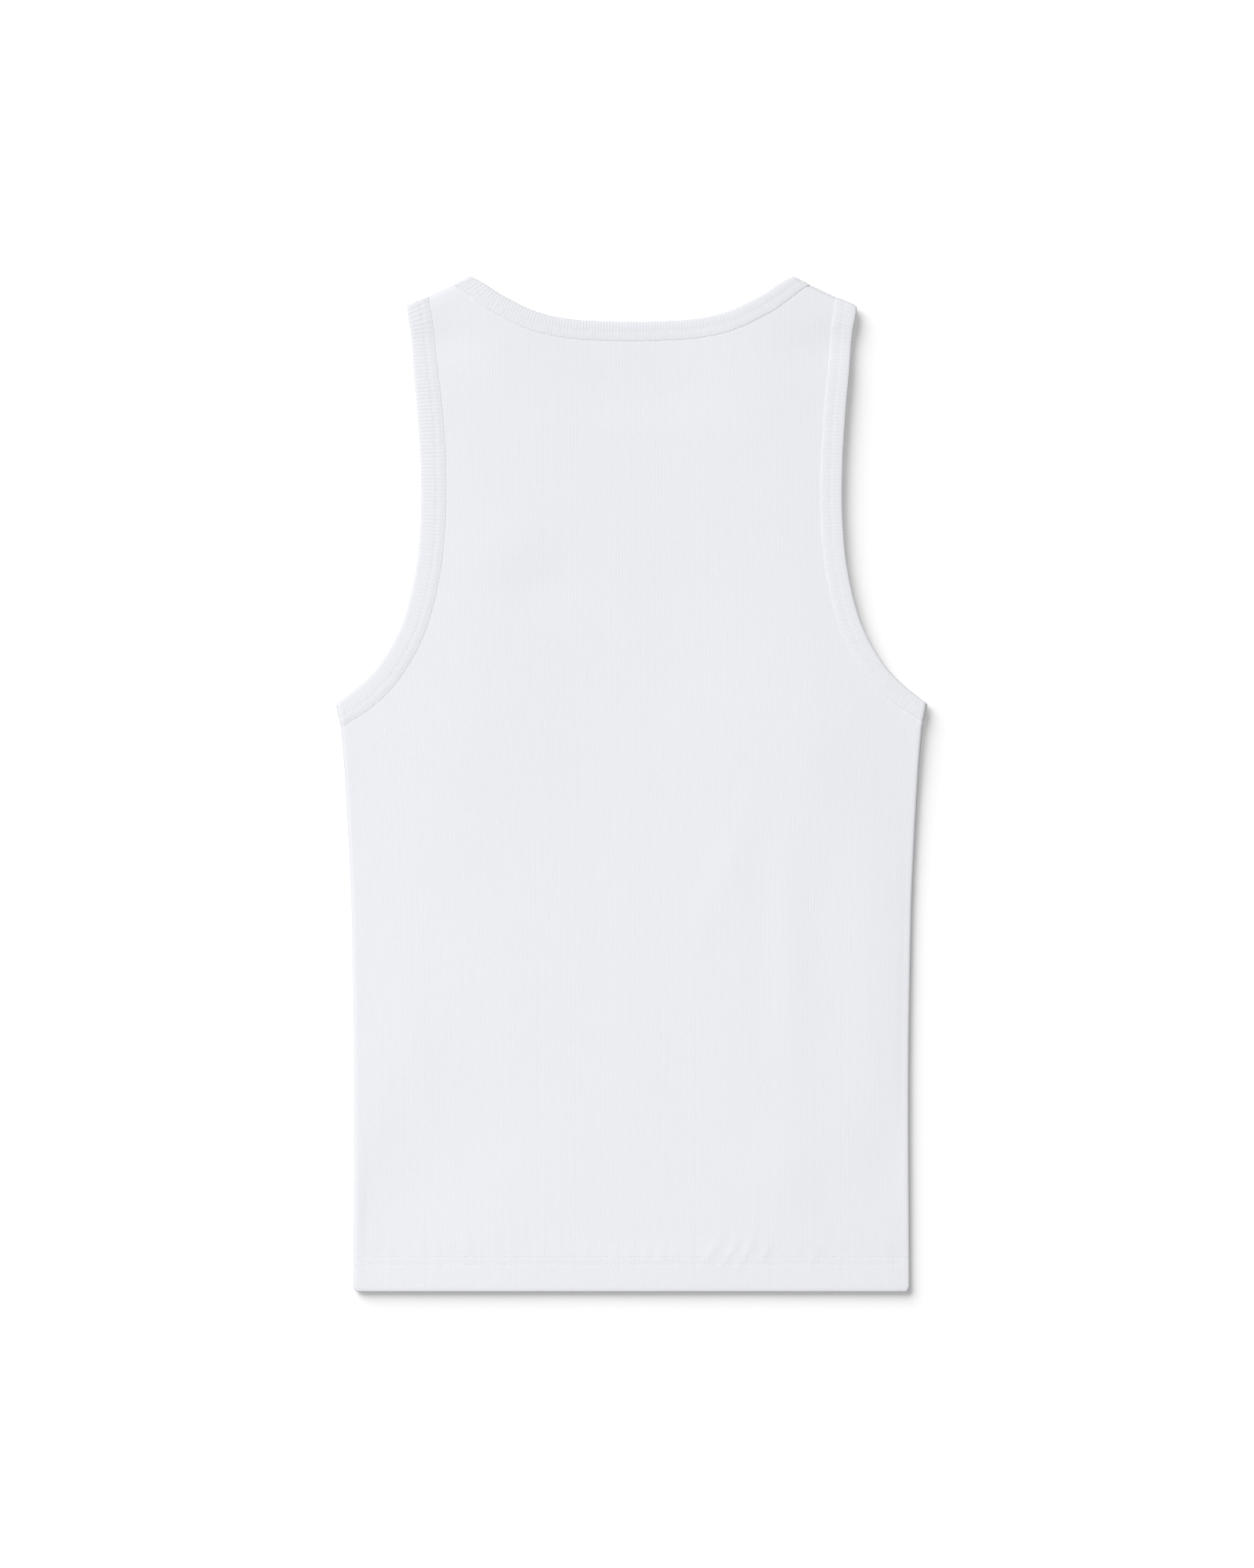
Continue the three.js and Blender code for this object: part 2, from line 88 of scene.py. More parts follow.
# Share of the ribs' rise that is left at the underarms. It grows to the full between these two heights.
LOW_RISE, LOW_RISE_FROM, LOW_RISE_TO = 0.3, 120.0, 230.0
NECK_WIDTHS = (13.5, 13.5, 13.5, 13.5)
LEFT_WIDTHS = (15.2, 17.6, 17.2, 17.2)
RIGHT_WIDTHS = (14.4, 15.2, 15.0, 13.4)
WIDTHS_AT = (0.0, 0.3, 0.7, 1.0)  # share of the way along the strip
FRONT_SCOOP = 6.0  # how much deeper the front's armholes are cut
TURN_LENGTH = 24.0  # over which the cross-lines turn to lie along a fold
RAW_EDGE = LEAF + 1.2  # the panel's edge lies this far inside the strip's free edge
PLACES_A_RIB = 4  # places along a strip for each of its ribs
FOLD_RIBS = 4
FOLD_REACH = 0.7  # how much further a fold stands out than half its thickness
FOLD_SIZE = np.array([FOLD_RADIUS + FOLD_REACH] * 2 + [FOLD_RADIUS])  # half, along X, Y and Z
FOLD_PRESSED = 0.15  # share of a strip's thickness that its folds lose
# How far a strip's free edge leads out before it turns over the near and the far fold.
NECK_LEADS, ARM_LEADS = (2.2, 2.2), (2.4, 0.7)
# Share of the full step at the strips' inner edges, and how far in from them it is felt.
NECK_STEP, LEFT_STEP, RIGHT_STEP = 0.85, 0.45, 1.0
STEP_REACH = 4.0
LEAD_LENGTH = 14.0
TIP_ROUNDING = 1.0  # how far a fold's tip is taken in
NECK_FLARE, LEFT_FLARE, RIGHT_FLARE = 0.0, 1.2, 1.5  # how much wider a strip is at its first fold
FLARE_LENGTH = 26.0
STRIP_SEED = 2
STRIP_WAVES = (0.13, 0.21, 0.34)  # a strip's unevenness, in waves for each rib
STRIP_SWAY, STRIP_SWELL = 0.10, 0.05  # how far it goes across the strip and in its height
UNEVEN_REACH = 8.0  # it ends this far in from the inner edge
SWELL_START, SWELL_END = 2.0, 3.0  # the swell grows and fades over these widths
RIB_SINK = 0.5  # share of a rib's rise that lies below the strip's level

# Sewing.
NEEDLES = ((0.95, 0.82), (6.5, 1.15))  # a row's place in from a strip's inner edge, and its height
HEM_NEEDLES = ((-331.0, 0.14), (-325.4, 0.05))  # height up the garment, and how deep the row lies
HEM_ROW_WIDTH = 0.75  # half the width that a row presses in
HEM_ROW_END = 0.994  # share of the way to the side seams
HEM_ROW_PLACES = 600
# How far the hem's threads stand out from the cloth. The front's lie low, because it rests on the table.
HEM_THREADS_BACK, HEM_THREADS_FRONT = 0.06, -0.35
STITCH = 2.7
THREAD = 0.42
STITCH_FILL = 0.94  # a stitch's length as a share of the distance to the next
STITCH_DIP = 0.28  # how far its ends dip into the cloth
STITCH_SIGHT = 0.8  # the row's direction is taken this far ahead and behind

THREE_WAVES = 2.2  # about what three waves of one reach together


def unit(v):
    v = np.asarray(v, float)
    return v / np.linalg.norm(v, axis=-1, keepdims=True)


def turned_right(v):
    return np.stack([v[..., 1], -v[..., 0]], -1)


def mirrored(v):
    return v * np.array([-1.0, 1.0])


def smooth(share):
    share = np.clip(share, 0.0, 1.0)
    return share * share * (3.0 - 2.0 * share)


def bump_at(place, middle, half_width):
    return np.exp(-(((place - middle) / half_width) ** 2))


def eased(x, places, values):
    """A smooth curve through the values at these places, which never swings past them."""
    places, values = np.asarray(places, float), np.asarray(values, float)
    step = np.diff(places)
    rise = np.diff(values) / step
    slope = np.zeros(len(values))
    same_way = rise[1:] * rise[:-1] > 0
    slope[1:-1][same_way] = (2 * rise[1:] * rise[:-1])[same_way] / (rise[1:] + rise[:-1])[same_way]
    slope[0], slope[-1] = rise[0], rise[-1]
    i = np.clip(np.searchsorted(places, x) - 1, 0, len(step) - 1)
    t = np.clip((x - places[i]) / step[i], 0.0, 1.0)
    return (
        (1 + 2 * t) * (1 - t) ** 2 * values[i]
        + t * (1 - t) ** 2 * step[i] * slope[i]
        + t * t * (3 - 2 * t) * values[i + 1]
        + t * t * (t - 1) * step[i] * slope[i + 1]
    )


def distances(line):
    """How far along a line each of its points is."""
    return np.append(0, np.cumsum(np.linalg.norm(np.diff(line, axis=0), axis=1)))


def places_at(at, along, line):
    """Places on a line, at these distances along it."""
    return np.stack([np.interp(at, along, line[:, k]) for k in range(line.shape[1])], -1)


def wander(place, wave, seed):
    """An uneven line from about -1 to 1, with swells about a wave long."""
    random = np.random.default_rng(seed)
    waves = (wave * 0.61, wave, wave * 1.73)
    return sum(np.sin(2 * math.pi * place / w + random.uniform(0, 2 * math.pi)) for w in waves) / THREE_WAVES


def rolling(x, y, shortest, longest, seed):
    """Uneven ground from about -1 to 1."""
    random = np.random.default_rng(seed)
    count = 16
    total = 0.0
    for _ in range(count):
        wave = random.uniform(shortest, longest)
        turn, start = random.uniform(0, 2 * math.pi, 2)
        total = total + np.sin(2 * math.pi * (x * math.cos(turn) + y * math.sin(turn)) / wave + start)
    return total / math.sqrt(count)


# The shoulder line, its outward direction, and the underarm's.
SHOULDER_ALONG = unit(NECK_POINT - SHOULDER_POINT)
SHOULDER_OUT = turned_right(SHOULDER_ALONG)
UNDERARM_ALONG = unit([UNDERARM_SLOPE, 1.0])
UNDERARM_OUT = turned_right(UNDERARM_ALONG)
NECK_AXIS = NECK_POINT - (FOLD_RADIUS + STRIP_OUT) * SHOULDER_OUT
SHOULDER_AXIS = SHOULDER_POINT - (FOLD_RADIUS + STRIP_OUT) * SHOULDER_OUT
UNDERARM_AXIS = UNDERARM_POINT - (FOLD_RADIUS + STRIP_OUT) * UNDERARM_OUT

# Free edges of the strips, between their folds.
ARMHOLE_EDGE = [
    SHOULDER_AXIS, (150.6, 290), (147.5, 254), (145.5, 218), (145.6, 182), (149.2, 146), (159.0, 109),
    (176.5, 79), UNDERARM_AXIS,
]
BACK_NECK_HALF = [NECK_AXIS, (99.6, 343.1), (88.2, 336.1), (66.2, 325.6), (44.1, 320.7), (22.2, 319.1)]
BACK_NECK_MIDDLE = (0.0, 318.6)
FRONT_NECK_HALF = [NECK_AXIS, (105.3, 316), (98.5, 287), (83, 260), (58, 240), (30, 230.5)]
FRONT_NECK_MIDDLE = (0.0, 227.5)


def half_in_strip(y):
    return UNDERARM_AXIS[0] + (y - UNDERARM_AXIS[1]) * UNDERARM_SLOPE + FOLD_RADIUS + WALL / 2 + SOLID_RIB


# Up the garment: half-width, heights of the middle of the front's and the back's cloth at the sides, and how
# far each dips towards the middle.
LEVELS = [
    (-350, 192.2, FLAT_LEVEL, HEM_LEVEL, 0, 0),
    (-326, 192.1, FLAT_LEVEL, HEM_LEVEL, 0, 0),
    (-313, 192.0, FLAT_LEVEL, BODY_BACK_LEVEL, 0, 0.9 * BODY_DIP),
    (-215, 191.6, FLAT_LEVEL, BODY_BACK_LEVEL, 0, BODY_DIP),
    (-95, 193.2, FLAT_LEVEL, BODY_BACK_LEVEL, 0, BODY_DIP),
    (-20, 196.5, FLAT_LEVEL, BODY_BACK_LEVEL + 0.6, 0, 1.4),
    (41, half_in_strip(41) + FOLD_REACH, FRONT_LEVEL, BACK_LEVEL, LIFT, 2.2),
    (58, half_in_strip(58) + FOLD_REACH, FRONT_LEVEL, BACK_LEVEL, LIFT, 2.2),
    (120, 208, FRONT_LEVEL, BACK_LEVEL, LIFT, 1.9),
    (202, 209, FRONT_LEVEL, BACK_LEVEL, 0, 0.9),
    (246, 208, FRONT_LEVEL, BACK_LEVEL, 0, 0.9),
    (268, 207, FRONT_LEVEL, BACK_LEVEL, 0, 0),
]
LEVEL_Y, LEVEL_HALF, LEVEL_FRONT, LEVEL_BACK, LEVEL_FRONT_DIP, LEVEL_BACK_DIP = zip(*LEVELS)
YOKE = LEVEL_Y[-1]  # above here rows follow the shoulders' slope
RELIEF_ENDS = (308.0, 329.0)  # the unevenness fades out between these heights
RIM_FADE = 8.0  # and over this width at the sides
# A dip is at its full depth as far as the first place from the middle, and ends at the second.
DIP_FLAT_TO, DIP_ENDS = 70.0, 118.0  # on the front
BACK_DIP_FLAT_TO, BACK_DIP_ENDS = 15.0, 125.0
# The back neck's sag: across as the dips, and growing between two heights.
SAG_DEPTH, SAG_FLAT_TO, SAG_ENDS = 2.1, 14.0, 104.0
SAG_FROM, SAG_TO = 246.0, 268.0
LEAN_REACH = 70.0  # from the middle to where the shoulder's fold faces fully outwards
LEVEL_ENOUGH = 0.99  # the cloth curls where its direction is less upright than this
# The cloth's uneven ground: its rise, and each side's shortest and longest wave and seed.
GROUND_RISE = 0.05
BACK_GROUND, FRONT_GROUND = (38, 120, 5), (40, 120, 21)
HIDDEN_FOLDS, HIDDEN_PUCKERS = 0.3, 0.5  # the front's as a share of the back's
# Uneven cloth just above the hem's needle rows: its rise, height up the garment, half-width, wave and seed.
GATHER_RISE, GATHER_AT, GATHER_WIDTH, GATHER_WAVE, GATHER_SEED = 0.07, -322, 9, 17, 8

# Rows of points up a panel.
TURN_UP_ROWS = (HEM_DEPTH - TOP, -338.0, -345.5)
TURN_UP_ANGLES = np.radians([-90, -45, 0, 45])
LOWEST_ROWS = (-346.5, -341.5, -336.0, -333.2)
NEEDLE_STEPS = (-1.3, -0.65, 0.0, 0.65, 1.3)  # about each of the hem's needle rows
PUCKER_ROWS = (-321.8, -318.8, -315.5, -310.0)
BODY_ROWS = (*np.linspace(-296, 40, 21), *np.linspace(48, 120, 10))
BACK_UPPER_ROWS = (*np.linspace(127, 246, 18), 257.0, YOKE)
FRONT_UPPER_ROWS = (140.0, 160.0, 180.0, 200.0, *np.linspace(210, 260, 8), YOKE)
# Above the yoke, the share of the way to the shoulder's fold, and then the angles round that fold.
BACK_YOKE_ROWS = (0.16, 0.32, 0.42, 0.5, 0.58, 0.66, 0.74, 0.82, 0.9, 1.0)
FRONT_YOKE_ROWS = np.linspace(0.11, 1.0, 9)
SHOULDER_ANGLES = np.radians([30, 60, 90])

# Soft folds left in the back by packing: place, half-length, half-width, height, and lean across for each
# millimetre up.
SOFT_FOLDS = [
    (-84, 161, 20, 27, 0.60, 0.0),  # dimple below the left shoulder
    (-62, 136, 13, 27, -0.60, 0.0),
    (110, -128, 80, 11, 0.36, 0.0),  # upright ridge and hollow on the right
    (88, -128, 80, 10, -0.24, 0.0),
    (62, -70, 50, 12, 0.45, 0.41),  # slanting ridge beside them
    (128, 20, 52, 22, 0.60, 0.0),  # slope down to the right side under the arm
    (172, 12, 56, 20, -0.50, 0.0),
    (166, -110, 160, 22, 0.80, 0.0),  # the right side stands up a little
    (-184, -245, 55, 20, 0.40, 0.25),  # wide hollow at the lower left
    (-122, -245, 50, 55, -1.20, 0.25),
    (-160, -290, 30, 44, -0.70, 0.0),
    (-150, -170, 30, 14, 0.30, -0.2),
    (108, -264, 24, 22, 0.80, 0.0),  # slope down to the right above the hem
    (172, -264, 26, 20, -0.80, 0.0),
    (-52, 262, 28, 26, 0.45, 0.0),  # slope down to the right below the neck
    (24, 262, 30, 34, -0.45, 0.0),
    (140, 303, 15, 28, -1.40, 0.0),  # the shoulders rise towards their fold
    (-134, 304, 14, 28, -1.20, 0.0),
    (-140, -30, 70, 30, 0.30, 0.0),  # the left side stands up a little
]
# Small puckers that the hem's sewing draws up, in the same columns.
PUCKERS = [
    (56, -321, 9, 3.0, 0.22, 0.55),
    (68, -323, 10, 2.6, 0.26, 0.60),
    (80, -321, 11, 3.2, 0.30, 0.50),
    (93, -322, 9, 2.8, 0.22, 0.55),
    (-48, -321, 8, 3.4, 0.14, -0.50),
    (-112, -322, 9, 3.0, 0.15, -0.45),
    (128, -322, 8, 3.0, 0.15, 0.50),
    (12, -321, 8, 3.0, 0.12, 0.40),
]


def folds_at(x, y, table):
    total = 0.0
    for fold_x, fold_y, length, width, height, lean in table:
        total = total + height * bump_at(y, fold_y, length) * bump_at(x - lean * (y - fold_y), fold_x, width)
    return total


def dip_share(x, side):
    start, end = (BACK_DIP_FLAT_TO, BACK_DIP_ENDS) if side > 0 else (DIP_FLAT_TO, DIP_ENDS)
    return 1 - smooth((np.abs(x) - start) / (end - start))


def neck_sag(x, y):
    """The back neck has no front under it, and sags towards the table."""
    across = 1 - smooth((np.abs(x) - SAG_FLAT_TO) / (SAG_ENDS - SAG_FLAT_TO))
    return SAG_DEPTH * across * smooth((y - SAG_FROM) / (SAG_TO - SAG_FROM))


def hem_corner(y):
    """How far the bottom corner's rounding takes the side in."""
    below = np.clip(HEM_CORNER - TOP - y, 0, HEM_CORNER)
    return HEM_CORNER - np.sqrt(HEM_CORNER**2 - below**2)


def level_side(y):
    """Half-width at each height up the garment, where the side's curl starts, its radius and the seam's
    height."""
    half, front, back = (eased(y, LEVEL_Y, column) for column in (LEVEL_HALF, LEVEL_FRONT, LEVEL_BACK))
    radius = (back - front) / 2
    return half, half - radius - WALL / 2 - SOLID_RIB + CURL_ALLOWANCE, radius, (back + front) / 2


def relief(x, y, side):
    """How far a panel's cloth stands out from its level. The front lies on the table, so its ground and folds
    only go inwards. None is left at the rim."""
    if side < 0:
        ground = -GROUND_RISE * (1 + rolling(x, y, *FRONT_GROUND))
        folds = -HIDDEN_FOLDS * np.abs(folds_at(-x, y, SOFT_FOLDS))
        puckers = -HIDDEN_PUCKERS * folds_at(-x, y, PUCKERS)
    else:
        ground = GROUND_RISE * rolling(x, y, *BACK_GROUND)
        folds = folds_at(x, y, SOFT_FOLDS)
        puckers = folds_at(x, y, PUCKERS)
    gathers = GATHER_RISE * wander(x, GATHER_WAVE, GATHER_SEED) * bump_at(y, GATHER_AT, GATHER_WIDTH)
    rows = sum(deep * bump_at(y, row, HEM_ROW_WIDTH) for row, deep in HEM_NEEDLES)
    off_rim = 1 - smooth((np.abs(x) - level_side(y)[1] + RIM_FADE) / RIM_FADE)
    off_shoulder = 1 - smooth((y - RELIEF_ENDS[0]) / (RELIEF_ENDS[1] - RELIEF_ENDS[0]))
    return (ground + folds + (gathers + puckers) - rows) * off_rim * off_shoulder


def body_points(u, y, depth, side):
    """Points of a panel for u from -1 at one side seam to 1 at the other, and the cloth's outward direction.
    y gives the height up the garment and depth how far the cloth lies inside the outer layer."""
    row = np.minimum(y, YOKE)
    half, axis, radius, seam_level = level_side(row)
    dips = LEVEL_BACK_DIP if side > 0 else LEVEL_FRONT_DIP
    s = np.abs(u) * (axis + radius * math.pi / 2)
    turned = np.maximum(0.0, (s - axis) / radius)
    sign = np.sign(u)
    x = sign * (np.minimum(s, axis) + radius * np.sin(turned))
    near_side = smooth((np.abs(x) - half + CORNER_REACH) / CORNER_REACH)
    x = x - sign * near_side * hem_corner(y)
    z = seam_level + side * radius * np.cos(turned) - eased(row, LEVEL_Y, dips) * dip_share(x, side)
    if side > 0:
        z = z - neck_sag(x, row)
    z = z + side * relief(x, y, side)
    normal = np.stack([sign * np.sin(turned), 0 * x, side * np.cos(turned)], -1)
    points = np.stack([x, y + 0 * x, z], -1) - depth[..., None] * normal
    least = side * seam_level + SEAM_GAP / 2
    curled = np.abs(normal[..., 2]) < LEVEL_ENOUGH
    points[..., 2] = np.where(curled, side * np.maximum(side * points[..., 2], least), points[..., 2])
    return points, normal


def shoulder_axis_y(x):
    reach = np.maximum(np.abs(x), NECK_AXIS[0])
    share = (reach - SHOULDER_AXIS[0]) / (NECK_AXIS[0] - SHOULDER_AXIS[0])
    return SHOULDER_AXIS[1] + share * (NECK_AXIS[1] - SHOULDER_AXIS[1])


def panel_grid(side):
    """Rows of points along a panel's cloth: the hem's turned-up end, its fold, then the outside up to the
    shoulder's fold. Also gives each point's place in the flat cloth."""
    phases, rises = zip(*RIB_COLUMNS)
    random = np.random.default_rng(PANEL_SEED + side)
    starts = np.arange(RIB_COUNT + 1) + random.uniform(-RIB_WIDTH_SPREAD, RIB_WIDTH_SPREAD, RIB_COUNT + 1)
    starts[[0, -1]] = 0, RIB_COUNT
    ribs = (starts[:-1, None] + np.diff(starts)[:, None] * np.array(phases)).ravel()
    ribs = np.append(ribs, RIB_COUNT)
    rise = RIB_RISE * np.append(np.outer(random.uniform(*RIB_RISE_RANGE, RIB_COUNT), rises), 0.0)
    if side < 0:
        rise = rise - RIB_RISE
    u = 2 * ribs / RIB_COUNT - 1

    fold_y = -TOP + WALL / 2 + HEM_BEND
    hem_y = [*TURN_UP_ROWS, *(fold_y - HEM_BEND * np.cos(TURN_UP_ANGLES))]
    hem_depth = [2 * HEM_BEND] * len(TURN_UP_ROWS) + list(HEM_BEND * (1 - np.sin(TURN_UP_ANGLES)))
    outer = [fold_y, *LOWEST_ROWS]
    outer += [row + step for row, _ in HEM_NEEDLES for step in NEEDLE_STEPS]
    outer += [*PUCKER_ROWS, *BODY_ROWS, *(BACK_UPPER_ROWS if side > 0 else FRONT_UPPER_ROWS)]
    y = np.array(hem_y + outer)
    depth = np.array(hem_depth + [0.0] * len(outer))
    grid_u, grid_y = np.meshgrid(u, y)
    points, normal = body_points(grid_u, grid_y, depth[:, None] + 0 * grid_u, side)

    top, top_normal = points[-1], normal[-1]
    across, level = top[:, 0], top[:, 2] - side * relief(top[:, 0], YOKE + 0 * ribs, side)
    above = []
    for share in BACK_YOKE_ROWS if side > 0 else FRONT_YOKE_ROWS:
        height = YOKE + share * (shoulder_axis_y(across) - YOKE)
        above.append(np.stack([across, height, level + side * relief(across, height, side)], -1))
    lean = np.clip(across / LEAN_REACH, -1, 1)
    fold_rows, fold_normals = [], []
    for turned in SHOULDER_ANGLES:
        out = np.stack([SHOULDER_OUT[0] * lean, SHOULDER_OUT[1] + 0 * lean], -1) * math.sin(turned)
        direction = np.concatenate([out, np.full((len(lean), 1), side * math.cos(turned))], -1)
        centre = above[-1] - np.array([0, 0, side * FOLD_RADIUS])
        fold_rows.append(centre + FOLD_SIZE * direction)
        fold_normals.append(direction)
    fold_rows[-1] = fold_rows[-1] + np.array([0, 0, side * SEAM_GAP / 2])
    points = np.concatenate([points, np.stack(above), np.stack(fold_rows)])
    normal = np.concatenate([normal, np.repeat(top_normal[None], len(above), 0), np.stack(fold_normals)])
    up = distances(points[:, len(ribs) // 2])[:, None]
    flat = np.stack(np.broadcast_arrays(ribs * RIB_SPACING, up), -1)
    return points + rise[None, :, None] * normal, flat


def inside(points, polygon):
    """True for each point inside a closed outline."""
    x, y = points[..., 0], points[..., 1]
    crossed = np.zeros(x.shape, bool)
    for (ax, ay), (bx, by) in zip(polygon, np.roll(polygon, -1, axis=0)):
        if ay == by:
            continue
        between = (y < ay) != (y < by)
        crossed ^= between & (x < ax + (y - ay) * (bx - ax) / (by - ay))
    return crossed


# Strips.


def spline(points, count):
    """Evenly spaced places along a smooth line through the points, and its direction at each."""
    points = np.array(points, float)
    ends = np.concatenate([points[:1], points, points[-1:]])
    t = np.linspace(0, 1, 200)[:, None]
    runs = []
    for i in range(len(points) - 1):
        before, start, end, after = ends[i : i + 4]
        out, back_in = (end - before) / 2, (after - start) / 2
        runs.append(
            (2 * start - 2 * end + out + back_in) * t**3
            + (-3 * start + 3 * end - 2 * out - back_in) * t**2
            + out * t
            + start
        )
    line = np.concatenate(runs)
    # One run ends where the next begins.
    line = line[np.append(True, np.linalg.norm(np.diff(line, axis=0), axis=1) > 1e-9)]
    along = distances(line)
    places = places_at(np.linspace(0, along[-1], count + 1), along, line)
    return places, unit(np.gradient(places, axis=0)), along[-1]


def cross_lines(edge, widths, rib, rise, fold_directions, scoop=0.0):
    """A strip's free edge and the lines across it, at a few places a rib. They stand square to the edge, but
    lie along the folds at its ends."""
    length = spline(edge, 10)[2]
    count = PLACES_A_RIB * round(length / rib)
    free, tangent, length = spline(edge, count)
    share = np.linspace(0, 1, count + 1)[:, None]
    across = turned_right(tangent)
    for direction, distance in zip(fold_directions, (share * length, (1 - share) * length)):
        near = smooth(1 - distance / TURN_LENGTH)
        across = across + (direction - across) * near
    across = unit(across)
    width = eased(share[:, 0], WIDTHS_AT, widths)[:, None]
    free = free + across * scoop * np.sin(math.pi * share) ** 2
    return {"free": free, "across": across, "width": width[:, 0], "rib": rib, "rise": rise}


def mirror_lines(lines):
    return lines | {"free": mirrored(lines["free"]), "across": mirrored(lines["across"])}


def armhole_lines(widths, rise, scoop):
    return cross_lines(ARMHOLE_EDGE, widths, ARM_RIB, rise, (SHOULDER_ALONG, -UNDERARM_ALONG), scoop)


def neck_lines(half, middle):
    edge = [mirrored(np.array(p)) for p in half] + [middle] + [np.array(p) for p in half[::-1]]
    return cross_lines(edge, NECK_WIDTHS, NECK_RIB, NECK_RISE, (mirrored(-SHOULDER_ALONG), -SHOULDER_ALONG))


def strip_frames(back, front, near_out, far_out, sag, leads, step, flare):
    """Where each section of a folded strip stands: along the back, over the far fold, along the front and
    over the near fold."""
    steps = PLACES_A_RIB * FOLD_RIBS
    turns = np.arange(1, steps) * math.pi / steps
    parts = [
        (back, slice(None), far_out, 0 * back["width"], sag),
        (back, [-1] * len(turns), far_out, turns, 0.0),
        (front, slice(None, None, -1), far_out, math.pi + 0 * front["width"], 0.0),
        (back, [0] * len(turns), near_out, math.pi - turns, 0.0),
    ]
    seams, alongs, normals, widths, sags, pressed, rides = [], [], [], [], [], [], []
    for lines, pick, out, turned, sagging in parts:
        free, across, width = lines["free"][pick], lines["across"][pick], lines["width"][pick]
        normal = np.concatenate([np.outer(np.sin(turned), out), np.cos(turned)[:, None]], -1)
        seam = free + across * width[:, None]
        flat = np.zeros((len(width), 1))
        seams.append(np.concatenate([seam, flat + FOLD_LEVEL], -1) + FOLD_SIZE * normal)
        alongs.append(np.concatenate([-across, flat], -1))
        normals.append(normal)
        flatness = (1 - np.abs(np.sin(turned)))[:, None]
        for end, fold_out, lead in zip(back["free"][[0, -1]], (near_out, far_out), leads):
            close = smooth(1 - np.linalg.norm(free - end, axis=-1) / LEAD_LENGTH)[:, None]
            seams[-1][:, :2] += lead * close * flatness * fold_out
        tip = TIP_ROUNDING * np.sin(turned) ** 2
        flared = flare * smooth(1 - np.linalg.norm(free - back["free"][0], axis=-1) / FLARE_LENGTH)
        widths.append(width - tip + flared)
        sags.append(np.full(len(width), sagging))
        pressed.append(1 - FOLD_PRESSED * np.abs(np.sin(turned)))
        rides.append(np.where(turned == 0, 1.0, 0.0))
    return {
        "seam": np.concatenate(seams),
        "along": np.concatenate(alongs),
        "normal": np.concatenate(normals),
        "width": np.concatenate(widths),
        "sag": np.concatenate(sags),
        "pressed": np.concatenate(pressed),
        "rides": np.concatenate(rides),
        "rib": back["rib"],
        "rise": back["rise"],
        "step": step,
    }


# A strip's section, out from the middle of the panel it holds. The columns are the edge it is measured from,
# the distance in from there, the height, and the share of the ribs' rise.
SECTION = [
    ("inner", 0.0, 0.35, 0.0),
    ("inner", 0.1, 0.60, 0.0),
    ("inner", 0.25, 0.78, 0.1),
    ("inner", 0.5, 0.90, 0.15),
    ("inner", 0.95, 0.95, 0.1),
    ("inner", 1.4, 1.03, 0.3),
    ("inner", 2.1, 1.11, 0.45),
    ("inner", 3.4, 1.17, 0.5),
    ("inner", 4.7, 1.20, 0.5),
    ("inner", 5.7, 1.21, 0.45),
    ("inner", 6.2, 1.17, 0.3),
    ("inner", 6.5, 1.13, 0.2),
    ("inner", 6.85, 1.18, 0.5),
    ("inner", 7.5, 1.27, 0.9),
    ("inner", 8.6, 1.31, 1.0),
    ("free", 2.8, 1.34, 1.0),
    ("free", 1.6, 1.28, 1.0),
    ("free", 0.8, 1.10, 1.0),
    ("free", 0.25, 0.85, 0.9),
    ("free", 0.0, 0.25, 0.8),
    ("free", 0.1, -0.6, 0.6),
    ("free", 0.5, -1.3, 0.3),
    ("free", 1.3, -1.72, 0.0),
    ("free", 3.0, -1.8, 0.0),
    ("inner", 0.3, -1.8, 0.0),
    ("inner", 0.0, -1.55, 0.0),
    ("inner", 0.0, -0.8, 0.0),
    ("free", 1.5, -0.8, 0.0),
    ("free", 1.05, -0.45, 0.0),
    ("free", 0.95, 0.05, 0.0),
    ("free", 1.25, 0.5, 0.0),
    ("free", 1.9, 0.62, 0.0),
    ("inner", 5.0, 0.62, 0.0),
]
LOWEST_EDGE = 0.57  # just above a panel's ribs
SECTION_RISES = (0.0, 0.85, 1.0, 0.85)  # share of the ribs' rise at the four places along a rib


